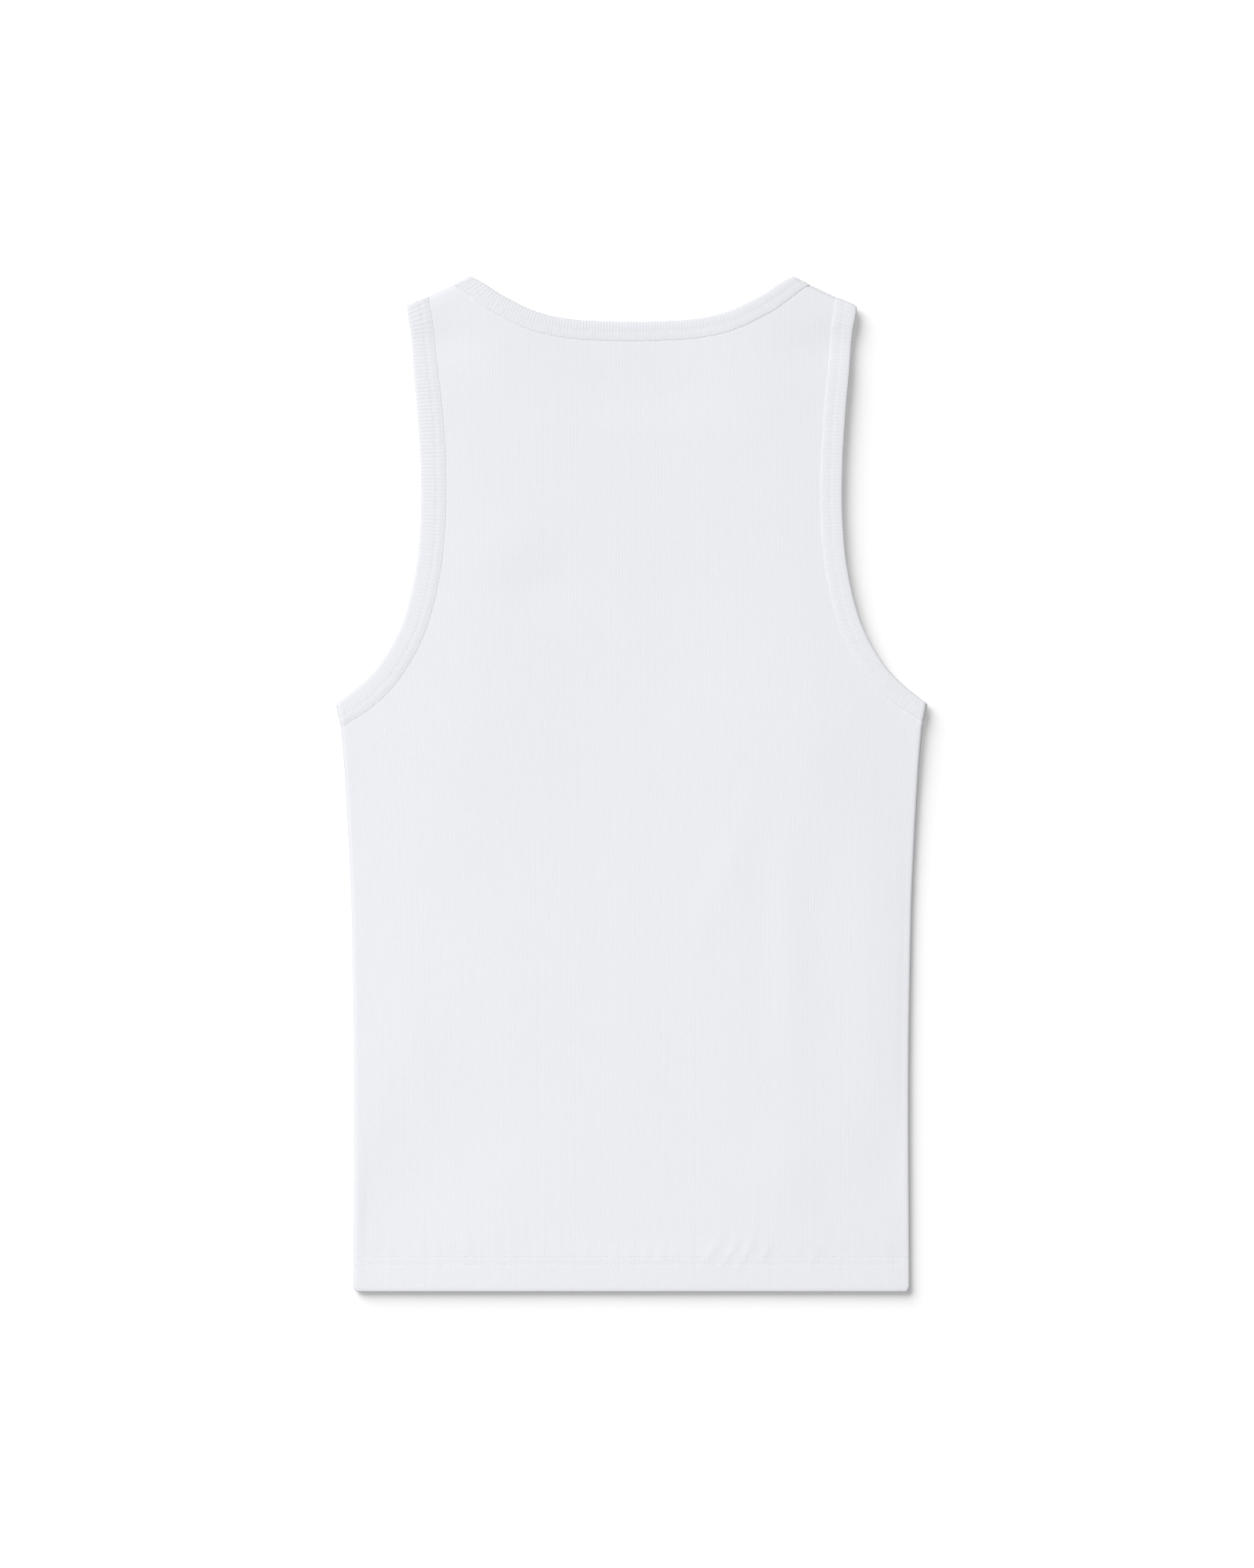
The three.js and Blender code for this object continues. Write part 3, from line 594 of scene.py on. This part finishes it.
def section_points(frames, from_edge, w, h, rib):
    """One line of a strip, all the way round it."""
    count = len(frames["width"])
    turns = 2 * math.pi * np.arange(count) / count
    ribs = count / PLACES_A_RIB
    waves = (np.sin(round(ribs * wave) * turns + STRIP_SEED * (wave * 31 + 1)) for wave in STRIP_WAVES)
    uneven = sum(waves) / THREE_WAVES
    between = 0.0
    if from_edge == "free":
        across = frames["width"] - w
    else:
        across = w + STRIP_SWAY * uneven * (w < UNEVEN_REACH)
        if h > LOWEST_EDGE:
            step = frames["step"] + (1 - frames["step"]) * smooth(w / STEP_REACH)
            h = LOWEST_EDGE + (h - LOWEST_EDGE) * step
        if h > 1:
            between = smooth(across / SWELL_START) * smooth((UNEVEN_REACH - across) / SWELL_END)
    up = frames["seam"][:, 1] - LOW_RISE_FROM
    full_rise = frames["rise"] * (LOW_RISE + (1 - LOW_RISE) * smooth(up / (LOW_RISE_TO - LOW_RISE_FROM)))
    rise = full_rise * (rib * np.resize(SECTION_RISES, count) - min(rib, RIB_SINK))
    height = (h + rise + STRIP_SWELL * uneven * between) * (frames["pressed"] if h > 0 else 1)
    points = frames["seam"] + across[:, None] * frames["along"] + height[:, None] * frames["normal"]
    points[:, 2] -= frames["sag"] * neck_sag(points[:, 0], TOP)
    points[:, 2] += frames["rides"] * relief(points[:, 0], points[:, 1], 1)
    return points


# Making pieces.


def deselect_all():
    bpy.ops.object.select_all(action="DESELECT")


def apply_modifier(piece, kind, **settings):
    modifier = piece.modifiers.new(kind.title(), kind)
    for key, value in settings.items():
        setattr(modifier, key, value)
    deselect_all()
    bpy.context.view_layer.objects.active = piece
    piece.select_set(True)
    bpy.ops.object.modifier_apply(modifier=modifier.name)


def shade_smooth(mesh):
    mesh.polygons.foreach_set("use_smooth", np.full(len(mesh.polygons), True))
    mesh.update()


def piece_from(name, points, faces):
    """A piece with these points, in millimetres, and faces."""
    mesh = bpy.data.meshes.new(name)
    mesh.from_pydata((points * MM).tolist(), [], faces)
    piece = bpy.data.objects.new(name, mesh)
    bpy.context.collection.objects.link(piece)
    shade_smooth(mesh)
    return piece


def make_panel(name, side, cut_outs):
    points, flat = panel_grid(side)
    rows, columns = points.shape[:2]
    deselect_all()
    bpy.ops.mesh.primitive_grid_add(x_subdivisions=columns - 1, y_subdivisions=rows - 1, size=2)
    piece = bpy.context.object
    piece.name = piece.data.name = name
    mesh = piece.data
    place = np.empty(len(mesh.vertices) * 3)
    mesh.vertices.foreach_get("co", place)
    place = place.reshape(-1, 3)
    i = np.rint((place[:, 1] + 1) / 2 * (rows - 1)).astype(int)
    j = np.rint((place[:, 0] + 1) / 2 * (columns - 1)).astype(int)
    shaped = points[i, j]
    mesh.vertices.foreach_set("co", (shaped * MM).ravel())
    corner = np.empty(len(mesh.loops), int)
    mesh.loops.foreach_get("vertex_index", corner)
    mesh.uv_layers[0].data.foreach_set("uv", flat[i, j][corner].ravel())
    gone = np.zeros(len(shaped), bool)
    for outline in cut_outs:
        gone |= inside(shaped, outline)
    mesh.update()

    bpy.ops.object.mode_set(mode="EDIT")
    bpy.ops.mesh.select_mode(type="VERT")
    bpy.ops.mesh.select_all(action="DESELECT")
    bpy.ops.object.mode_set(mode="OBJECT")
    mesh.vertices.foreach_set("select", gone)
    bpy.ops.object.mode_set(mode="EDIT")
    bpy.ops.mesh.delete(type="VERT")
    if side < 0:
        bpy.ops.mesh.select_all(action="SELECT")
        bpy.ops.mesh.flip_normals()
    bpy.ops.object.mode_set(mode="OBJECT")
    apply_modifier(piece, "SOLIDIFY", thickness=WALL * MM, offset=0.0, use_even_offset=False)
    shade_smooth(piece.data)
    return piece


def make_strip(name, frames, inside_out):
    lines = np.stack([section_points(frames, *row) for row in SECTION], 1)
    sections, around = lines.shape[:2]
    i, j = np.meshgrid(np.arange(sections), np.arange(around), indexing="ij")
    next_i, next_j = (i + 1) % sections, (j + 1) % around
    order = [(i, j), (i, next_j), (next_i, next_j), (next_i, j)]
    flat_order = [(i, j), (i, j + 1), (i + 1, j + 1), (i + 1, j)]
    if inside_out:
        order, flat_order = order[::-1], flat_order[::-1]
    faces = np.stack([a * around + b for a, b in order], -1).reshape(-1, 4)
    piece = piece_from(name, lines.reshape(-1, 3), faces.tolist())
    across = distances(np.concatenate([lines[0], lines[0, :1]]))
    spacing = frames["rib"] / PLACES_A_RIB
    flat = np.stack([np.stack([a * spacing, across[b]], -1) for a, b in flat_order], 2)
    piece.data.uv_layers.new(name="UVMap").data.foreach_set("uv", flat.ravel())
    return piece


def make_stitch():
    """One sewn stitch, which lies along X and dips into the cloth at both ends."""
    deselect_all()
    bpy.ops.mesh.primitive_uv_sphere_add(segments=6, ring_count=6, radius=1)
    stitch = bpy.context.object
    bpy.ops.object.mode_set(mode="EDIT")
    bpy.ops.mesh.select_all(action="SELECT")
    bpy.ops.transform.rotate(value=math.pi / 2, orient_axis="Y", center_override=(0, 0, 0))
    size = (STITCH * STITCH_FILL / 2, THREAD / 2, THREAD / 2)
    bpy.ops.transform.resize(value=size, center_override=(0, 0, 0))
    bpy.ops.object.mode_set(mode="OBJECT")
    place = np.array([v.co for v in stitch.data.vertices])
    place[:, 2] -= STITCH_DIP * (place[:, 0] / (STITCH / 2)) ** 4
    faces = [list(face.vertices) for face in stitch.data.polygons]
    bpy.data.objects.remove(stitch)
    return place, faces


STITCH_SHAPE = make_stitch()


def make_stitches(name, rows):
    """Copies of the stitch along each row. A row is its points, the cloth's outward directions and whether it
    closes on itself."""
    place, faces = STITCH_SHAPE
    points, joined = [], []
    for line, normal, closed in rows:
        if closed:
            line, normal = np.concatenate([line, line[:1]]), np.concatenate([normal, normal[:1]])
        along = distances(line)
        count = int(along[-1] / STITCH)
        at = (np.arange(count) + 0.5) * along[-1] / count
        centre = places_at(at, along, line)
        up = unit(places_at(at, along, normal))
        forward = unit(places_at(at + STITCH_SIGHT, along, line) - places_at(at - STITCH_SIGHT, along, line))
        aside = unit(np.cross(up, forward))
        for c, f, s, n in zip(centre, forward, aside, up):
            joined += [[v + len(points) * len(place) for v in face] for face in faces]
            points.append(c + place[:, :1] * f + place[:, 1:2] * s + place[:, 2:] * n)
    return piece_from(name, np.concatenate(points), joined)


def strip_rows(frames):
    rows = []
    for needle, height in NEEDLES:
        line = section_points(frames, "inner", needle, height, 0.0)
        rows.append((line, frames["normal"], True))
    return rows


def hem_rows(side):
    rows = []
    for y, _ in HEM_NEEDLES:
        u = np.linspace(-HEM_ROW_END, HEM_ROW_END, HEM_ROW_PLACES)
        height = WALL / 2 + (HEM_THREADS_BACK if side > 0 else HEM_THREADS_FRONT)
        line, normal = body_points(u, np.full(len(u), y), np.full(len(u), -height), side)
        rows.append((line, normal, False))
    return rows


def raw_edge(lines, near_out, far_out, beyond):
    """Outline of what is cut away along a strip. The panel's raw edge lies inside the strip, near its
    crease."""
    edge = lines["free"] + lines["across"] * RAW_EDGE
    reach = 2 * (FOLD_RADIUS + STRIP_OUT)
    return np.concatenate([[edge[0] + reach * near_out], edge, [edge[-1] + reach * far_out], beyond])


def cut_outs(neck, armhole):
    above_neck = [(CUT_ABOVE_NECK, FAR), (-CUT_ABOVE_NECK, FAR)]
    beside = [(FAR, 0.0), (FAR, FAR), (CUT_BESIDE, FAR)]
    right = raw_edge(armhole, SHOULDER_OUT, UNDERARM_OUT, beside)
    return [raw_edge(neck, mirrored(SHOULDER_OUT), SHOULDER_OUT, above_neck), right, mirrored(right)]


back_neck = neck_lines(BACK_NECK_HALF, BACK_NECK_MIDDLE)
front_neck = neck_lines(FRONT_NECK_HALF, FRONT_NECK_MIDDLE)
back_right, front_right = (armhole_lines(RIGHT_WIDTHS, RIGHT_RISE, scoop) for scoop in (0.0, FRONT_SCOOP))
back_left, front_left = (armhole_lines(LEFT_WIDTHS, LEFT_RISE, scoop) for scoop in (0.0, FRONT_SCOOP))

back_cloth = make_panel("back_cloth", 1, cut_outs(back_neck, back_right))
front_cloth = make_panel("front_cloth", -1, cut_outs(front_neck, front_right))

neck_frames = strip_frames(
    back_neck, front_neck, mirrored(SHOULDER_OUT), SHOULDER_OUT, 1.0, NECK_LEADS, NECK_STEP, NECK_FLARE
)
right_frames = strip_frames(
    back_right, front_right, SHOULDER_OUT, UNDERARM_OUT, 0.0, ARM_LEADS, RIGHT_STEP, RIGHT_FLARE
)
left_frames = strip_frames(
    mirror_lines(back_left),
    mirror_lines(front_left),
    mirrored(SHOULDER_OUT),
    mirrored(UNDERARM_OUT),
    0.0,
    ARM_LEADS,
    LEFT_STEP,
    LEFT_FLARE,
)
neck_strip = make_strip("neck_strip", neck_frames, True)
armhole_strip_right = make_strip("armhole_strip_right", right_frames, True)
armhole_strip_left = make_strip("armhole_strip_left", left_frames, False)

neck_stitches = make_stitches("neck_stitches", strip_rows(neck_frames))
armhole_stitches_right = make_stitches("armhole_stitches_right", strip_rows(right_frames))
armhole_stitches_left = make_stitches("armhole_stitches_left", strip_rows(left_frames))
hem_stitches_back = make_stitches("hem_stitches_back", hem_rows(1))
hem_stitches_front = make_stitches("hem_stitches_front", hem_rows(-1))


# Materials.

WHITE = (0.780, 0.788, 0.822)
BODY_BUMP, STRIP_BUMP = 0.036, 0.06  # height of the knitted loops
LIGHTEST, DARKEST = 1.025, 0.975  # uneven tone of the yarn
PAINTED_HOLLOW_SHADE, PAINTED_SHADE_SHARE = 0.90, 0.35  # painted shade, darker in the hollows between the ribs
LEG_SLANT = 1.7  # how steeply the legs of a loop run to the middle of its rib
CREASE_WIDTH, CREASE_DEPTH = 7.0, 0.4  # where the legs meet
FUZZ_SHARE, LOOP_SHARE = 0.5, 1.8
STREAK_TONE, LOOP_TONE = 0.6, 0.4


def set_inputs(node, values):
    for name, value in values.items():
        node.inputs[name].default_value = value


def new_material(name, values):
    """A material with these values on its surface. Also gives its nodes, their links and the surface."""
    material = bpy.data.materials.new(name)
    material.use_nodes = True
    nodes = material.node_tree.nodes
    set_inputs(nodes["Principled BSDF"], values)
    return material, nodes, material.node_tree.links, nodes["Principled BSDF"]


def shade(colour, share):
    return (*[c * share for c in colour], 1)


def colour_mix(nodes, links, share, first, second):
    """A mix of two colours. The first may be another mix."""
    mix = nodes.new("ShaderNodeMix")
    mix.data_type = "RGBA"
    links.new(share, mix.inputs["Factor"])
    if isinstance(first, tuple):
        mix.inputs["A"].default_value = first
    else:
        links.new(first, mix.inputs["A"])
    mix.inputs["B"].default_value = second
    return mix.outputs["Result"]


def knit_group():
    """Rows of knitted loops on the ribs, from a place in the flat cloth in millimetres. Also gives a mask of
    the hollows between the ribs for painted shade.
    """
    group = bpy.data.node_groups.new("knit", "ShaderNodeTree")
    sockets = group.interface
    sockets.new_socket("Cloth", in_out="INPUT", socket_type="NodeSocketVector")
    for name, value in (("Rib spacing", RIB_SPACING), ("Course height", COURSE)):
        sockets.new_socket(name, in_out="INPUT", socket_type="NodeSocketFloat").default_value = value
    for name in ("Height", "Painted hollow shade", "Streaks"):
        sockets.new_socket(name, in_out="OUTPUT", socket_type="NodeSocketFloat")
    nodes, links = group.nodes, group.links
    given, result = nodes.new("NodeGroupInput"), nodes.new("NodeGroupOutput")

    def maths(operation, *values):
        node = nodes.new("ShaderNodeMath")
        node.operation = operation
        for socket, value in zip(node.inputs, values):
            if isinstance(value, (int, float)):
                socket.default_value = value
            else:
                links.new(value, socket)
        return node.outputs[0]

    split = nodes.new("ShaderNodeSeparateXYZ")
    links.new(given.outputs["Cloth"], split.inputs[0])
    rib = maths("FRACT", maths("DIVIDE", split.outputs["X"], given.outputs["Rib spacing"]))
    aside = maths("ABSOLUTE", maths("SUBTRACT", rib, 0.5))
    course = maths("DIVIDE", split.outputs["Y"], given.outputs["Course height"])
    leg = maths("FRACT", maths("ADD", course, maths("MULTIPLY", aside, LEG_SLANT)))
    loop = maths("SINE", maths("MULTIPLY", leg, math.pi))
    crease = maths("SMOOTH_MIN", maths("MULTIPLY", aside, CREASE_WIDTH), 1.0, 0.4)
    crease = maths("ADD", maths("MULTIPLY", crease, CREASE_DEPTH), 1 - CREASE_DEPTH)
    crest = maths("SUBTRACT", 1.0, maths("POWER", maths("MULTIPLY", aside, 2.0), 3.0))
    height = maths("MULTIPLY", maths("MULTIPLY", loop, crest), crease)

    def uneven(scale, detail, stretch):
        """Uneven yarn: cells a millimetre over the scale wide, and longer along the ribs by the stretch."""
        longer = nodes.new("ShaderNodeMapping")
        longer.inputs["Scale"].default_value = (1.0, 1.0 / stretch, 1.0)
        links.new(given.outputs["Cloth"], longer.inputs["Vector"])
        noise = nodes.new("ShaderNodeTexNoise")
        noise.inputs["Scale"].default_value = scale
        noise.inputs["Detail"].default_value = detail
        links.new(longer.outputs[0], noise.inputs["Vector"])
        return noise.outputs[0]

    fuzz = uneven(scale=2.6, detail=3.0, stretch=1.0)
    loops = uneven(scale=0.75, detail=1.0, stretch=1.6)
    streaks = uneven(scale=0.55, detail=1.0, stretch=14.0)
    yarn = maths("ADD", maths("MULTIPLY", fuzz, FUZZ_SHARE), maths("MULTIPLY", loops, LOOP_SHARE))
    tone = maths("ADD", maths("MULTIPLY", streaks, STREAK_TONE), maths("MULTIPLY", loops, LOOP_TONE))
    links.new(maths("ADD", height, yarn), result.inputs["Height"])
    # Mask for painted shade: 0 on a rib's crest, rising to 1 in the hollows between the ribs.
    links.new(maths("POWER", maths("MULTIPLY", aside, 2.0), 4.0), result.inputs["Painted hollow shade"])
    links.new(tone, result.inputs["Streaks"])
    return group


KNIT = knit_group()


def cotton(name, rib_spacing, bump):
    material, nodes, links, surface = new_material(
        name,
        {"Roughness": 0.86, "Specular IOR Level": 0.25, "Sheen Weight": 0.12, "Sheen Roughness": 0.5},
    )
    cloth = nodes.new("ShaderNodeUVMap")
    cloth.uv_map = "UVMap"
    knit = nodes.new("ShaderNodeGroup")
    knit.node_tree = KNIT
    set_inputs(knit, {"Rib spacing": rib_spacing, "Course height": COURSE})
    links.new(cloth.outputs["UV"], knit.inputs["Cloth"])
    loops = nodes.new("ShaderNodeBump")
    set_inputs(loops, {"Distance": bump * MM, "Strength": 1.0})
    links.new(knit.outputs["Height"], loops.inputs["Height"])
    links.new(loops.outputs["Normal"], surface.inputs["Normal"])
    yarn = colour_mix(nodes, links, knit.outputs["Streaks"], shade(WHITE, DARKEST), shade(WHITE, LIGHTEST))
    # Painted shade: the colour is darkened in the hollows between the ribs.
    hollow_shade = nodes.new("ShaderNodeMath")
    hollow_shade.operation = "MULTIPLY"
    hollow_shade.inputs[1].default_value = PAINTED_SHADE_SHARE
    links.new(knit.outputs["Painted hollow shade"], hollow_shade.inputs[0])
    colour = colour_mix(nodes, links, hollow_shade.outputs[0], yarn, shade(WHITE, PAINTED_HOLLOW_SHADE))
    links.new(colour, surface.inputs["Base Color"])
    return material


def sewing_thread():
    material, nodes, links, surface = new_material("white_thread", {"Roughness": 0.6, "Sheen Weight": 0.1})
    place = nodes.new("ShaderNodeTexCoord")
    twist = nodes.new("ShaderNodeTexNoise")
    twist.inputs["Scale"].default_value = 900.0
    links.new(place.outputs["Object"], twist.inputs["Vector"])
    colour = colour_mix(nodes, links, twist.outputs[0], (0.76, 0.775, 0.80, 1), (0.82, 0.83, 0.85, 1))
    links.new(colour, surface.inputs["Base Color"])
    return material


body_knit = cotton("body_knit", RIB_SPACING, BODY_BUMP)
neck_knit = cotton("neck_knit", NECK_RIB, STRIP_BUMP)
armhole_knit = cotton("armhole_knit", ARM_RIB, STRIP_BUMP)
thread = sewing_thread()

PIECES = [
    (back_cloth, body_knit, "body_rib", "back_panel"),
    (front_cloth, body_knit, "body_rib", "front_panel"),
    (neck_strip, neck_knit, "binding_rib", "neck_binding"),
    (armhole_strip_left, armhole_knit, "binding_rib", "armhole_binding_left"),
    (armhole_strip_right, armhole_knit, "binding_rib", "armhole_binding_right"),
    (neck_stitches, thread, "binding_rib", None),
    (armhole_stitches_left, thread, "binding_rib", None),
    (armhole_stitches_right, thread, "binding_rib", None),
    (hem_stitches_back, thread, "body_rib", None),
    (hem_stitches_front, thread, "body_rib", None),
]
for piece, material, slot, node in PIECES:
    piece.data.materials.clear()
    piece.data.materials.append(material)
    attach(piece, "root")
    if node:
        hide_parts(node)

# Floor, lights and camera.

FLOOR_SIZE = 12
FLOOR_LEVEL = -0.0002  # just under the cloth
FLOOR_GLOW = 0.31
WORLD_GLOW = 0.10


def make_floor():
    deselect_all()
    bpy.ops.mesh.primitive_plane_add(size=FLOOR_SIZE, location=(0, 0, FLOOR_LEVEL))
    floor = bpy.context.object
    floor.name = "floor"
    material, nodes, links, surface = new_material(
        "white_floor",
        {
            "Base Color": (0.95, 0.95, 0.95, 1),
            "Roughness": 1.0,
            "Specular IOR Level": 0.0,
            "Emission Color": (1, 1, 1, 1),
            "Emission Strength": FLOOR_GLOW,
        },
    )
    # It glares on the garment less than it shows, and from below it is clear.
    rays = nodes.new("ShaderNodeLightPath")
    dull = nodes.new("ShaderNodeBsdfDiffuse")
    dull.inputs["Color"].default_value = (0.7, 0.7, 0.7, 1)
    glare = nodes.new("ShaderNodeMixShader")
    links.new(rays.outputs["Is Diffuse Ray"], glare.inputs["Fac"])
    links.new(surface.outputs[0], glare.inputs[1])
    links.new(dull.outputs[0], glare.inputs[2])
    from_below = nodes.new("ShaderNodeNewGeometry")
    clear = nodes.new("ShaderNodeBsdfTransparent")
    mix = nodes.new("ShaderNodeMixShader")
    links.new(from_below.outputs["Backfacing"], mix.inputs["Fac"])
    links.new(glare.outputs[0], mix.inputs[1])
    links.new(clear.outputs[0], mix.inputs[2])
    links.new(mix.outputs[0], nodes["Material Output"].inputs["Surface"])
    floor.data.materials.append(material)
    return floor


def aim(light, place):
    """Puts a light at a place and turns it to the middle of the table."""
    direction = np.subtract((0, 0, 0), place)
    light.location = place
    tilt = math.pi / 2 - math.atan2(-direction[2], math.hypot(direction[0], direction[1]))
    light.rotation_euler = (tilt, 0, math.atan2(-direction[0], direction[1]))


def add_light(kind, name, place, energy, **settings):
    data = bpy.data.lights.new(name, kind)
    data.energy = energy
    for key, value in settings.items():
        setattr(data, key, value)
    light = bpy.data.objects.new(name, data)
    bpy.context.collection.objects.link(light)
    aim(light, place)
    light.visible_camera = False
    return light


def light_only(light, lit, shading=None):
    """The light falls on the lit things alone. Everything casts its shadow, or only the shading things do."""
    light.light_linking.receiver_collection = bpy.data.collections.new(light.name + "_on")
    for thing in lit:
        light.light_linking.receiver_collection.objects.link(thing)
    if shading:
        light.light_linking.blocker_collection = bpy.data.collections.new(light.name + "_blocked_by")
        for thing in shading:
            light.light_linking.blocker_collection.objects.link(thing)


floor = make_floor()
garment = [row[0] for row in PIECES]
# Kind, name, place in metres, strength, how wide it is, what it lights and what alone blocks it.
LAMPS = [
    ("SUN", "shadow_lamp", (-1.80, 2.2, 1.36), 4.9, {"angle": math.radians(56)}, [floor], None),
    ("SUN", "overhead_softbox", (0.0, 0.0, 4.0), 0.845, {"angle": math.radians(120)}, garment, None),
    ("AREA", "near_softbox", (-0.92, -0.12, 2.0), 16.2, {"shape": "SQUARE", "size": 1.4}, garment, None),
    ("SUN", "window", (-1.75, 1.85, 2.7), 1.91, {"angle": math.radians(40)}, garment, None),
    ("SUN", "from_below", (-0.3, 1.5, -1.5), 0.9, {"angle": math.radians(90)}, garment, garment),
]
for kind, name, place, strength, width, lit, shading in LAMPS:
    light_only(add_light(kind, name, place, strength, **width), lit, shading)
world = bpy.data.worlds.new("studio")
bpy.context.scene.world = world
world.use_nodes = True
set_inputs(world.node_tree.nodes["Background"], {"Color": (1, 1, 1, 1), "Strength": WORLD_GLOW})

MM_PER_PIXEL = 0.541
PICTURE = (1600, 2000)
CAMERA_HEIGHT = 3.0
SENSOR = 36
GARMENT_MIDDLE = 806  # pixels across the picture
camera_data = bpy.data.cameras.new("camera")
camera_data.sensor_width = SENSOR
camera_data.lens = SENSOR * CAMERA_HEIGHT / (PICTURE[1] * MM_PER_PIXEL * MM)
camera = bpy.data.objects.new("camera", camera_data)
camera.location = ((PICTURE[0] / 2 - GARMENT_MIDDLE) * MM_PER_PIXEL * MM, 0, CAMERA_HEIGHT)
bpy.context.collection.objects.link(camera)
scene = bpy.context.scene
scene.camera = camera
scene.view_settings.view_transform = "Standard"
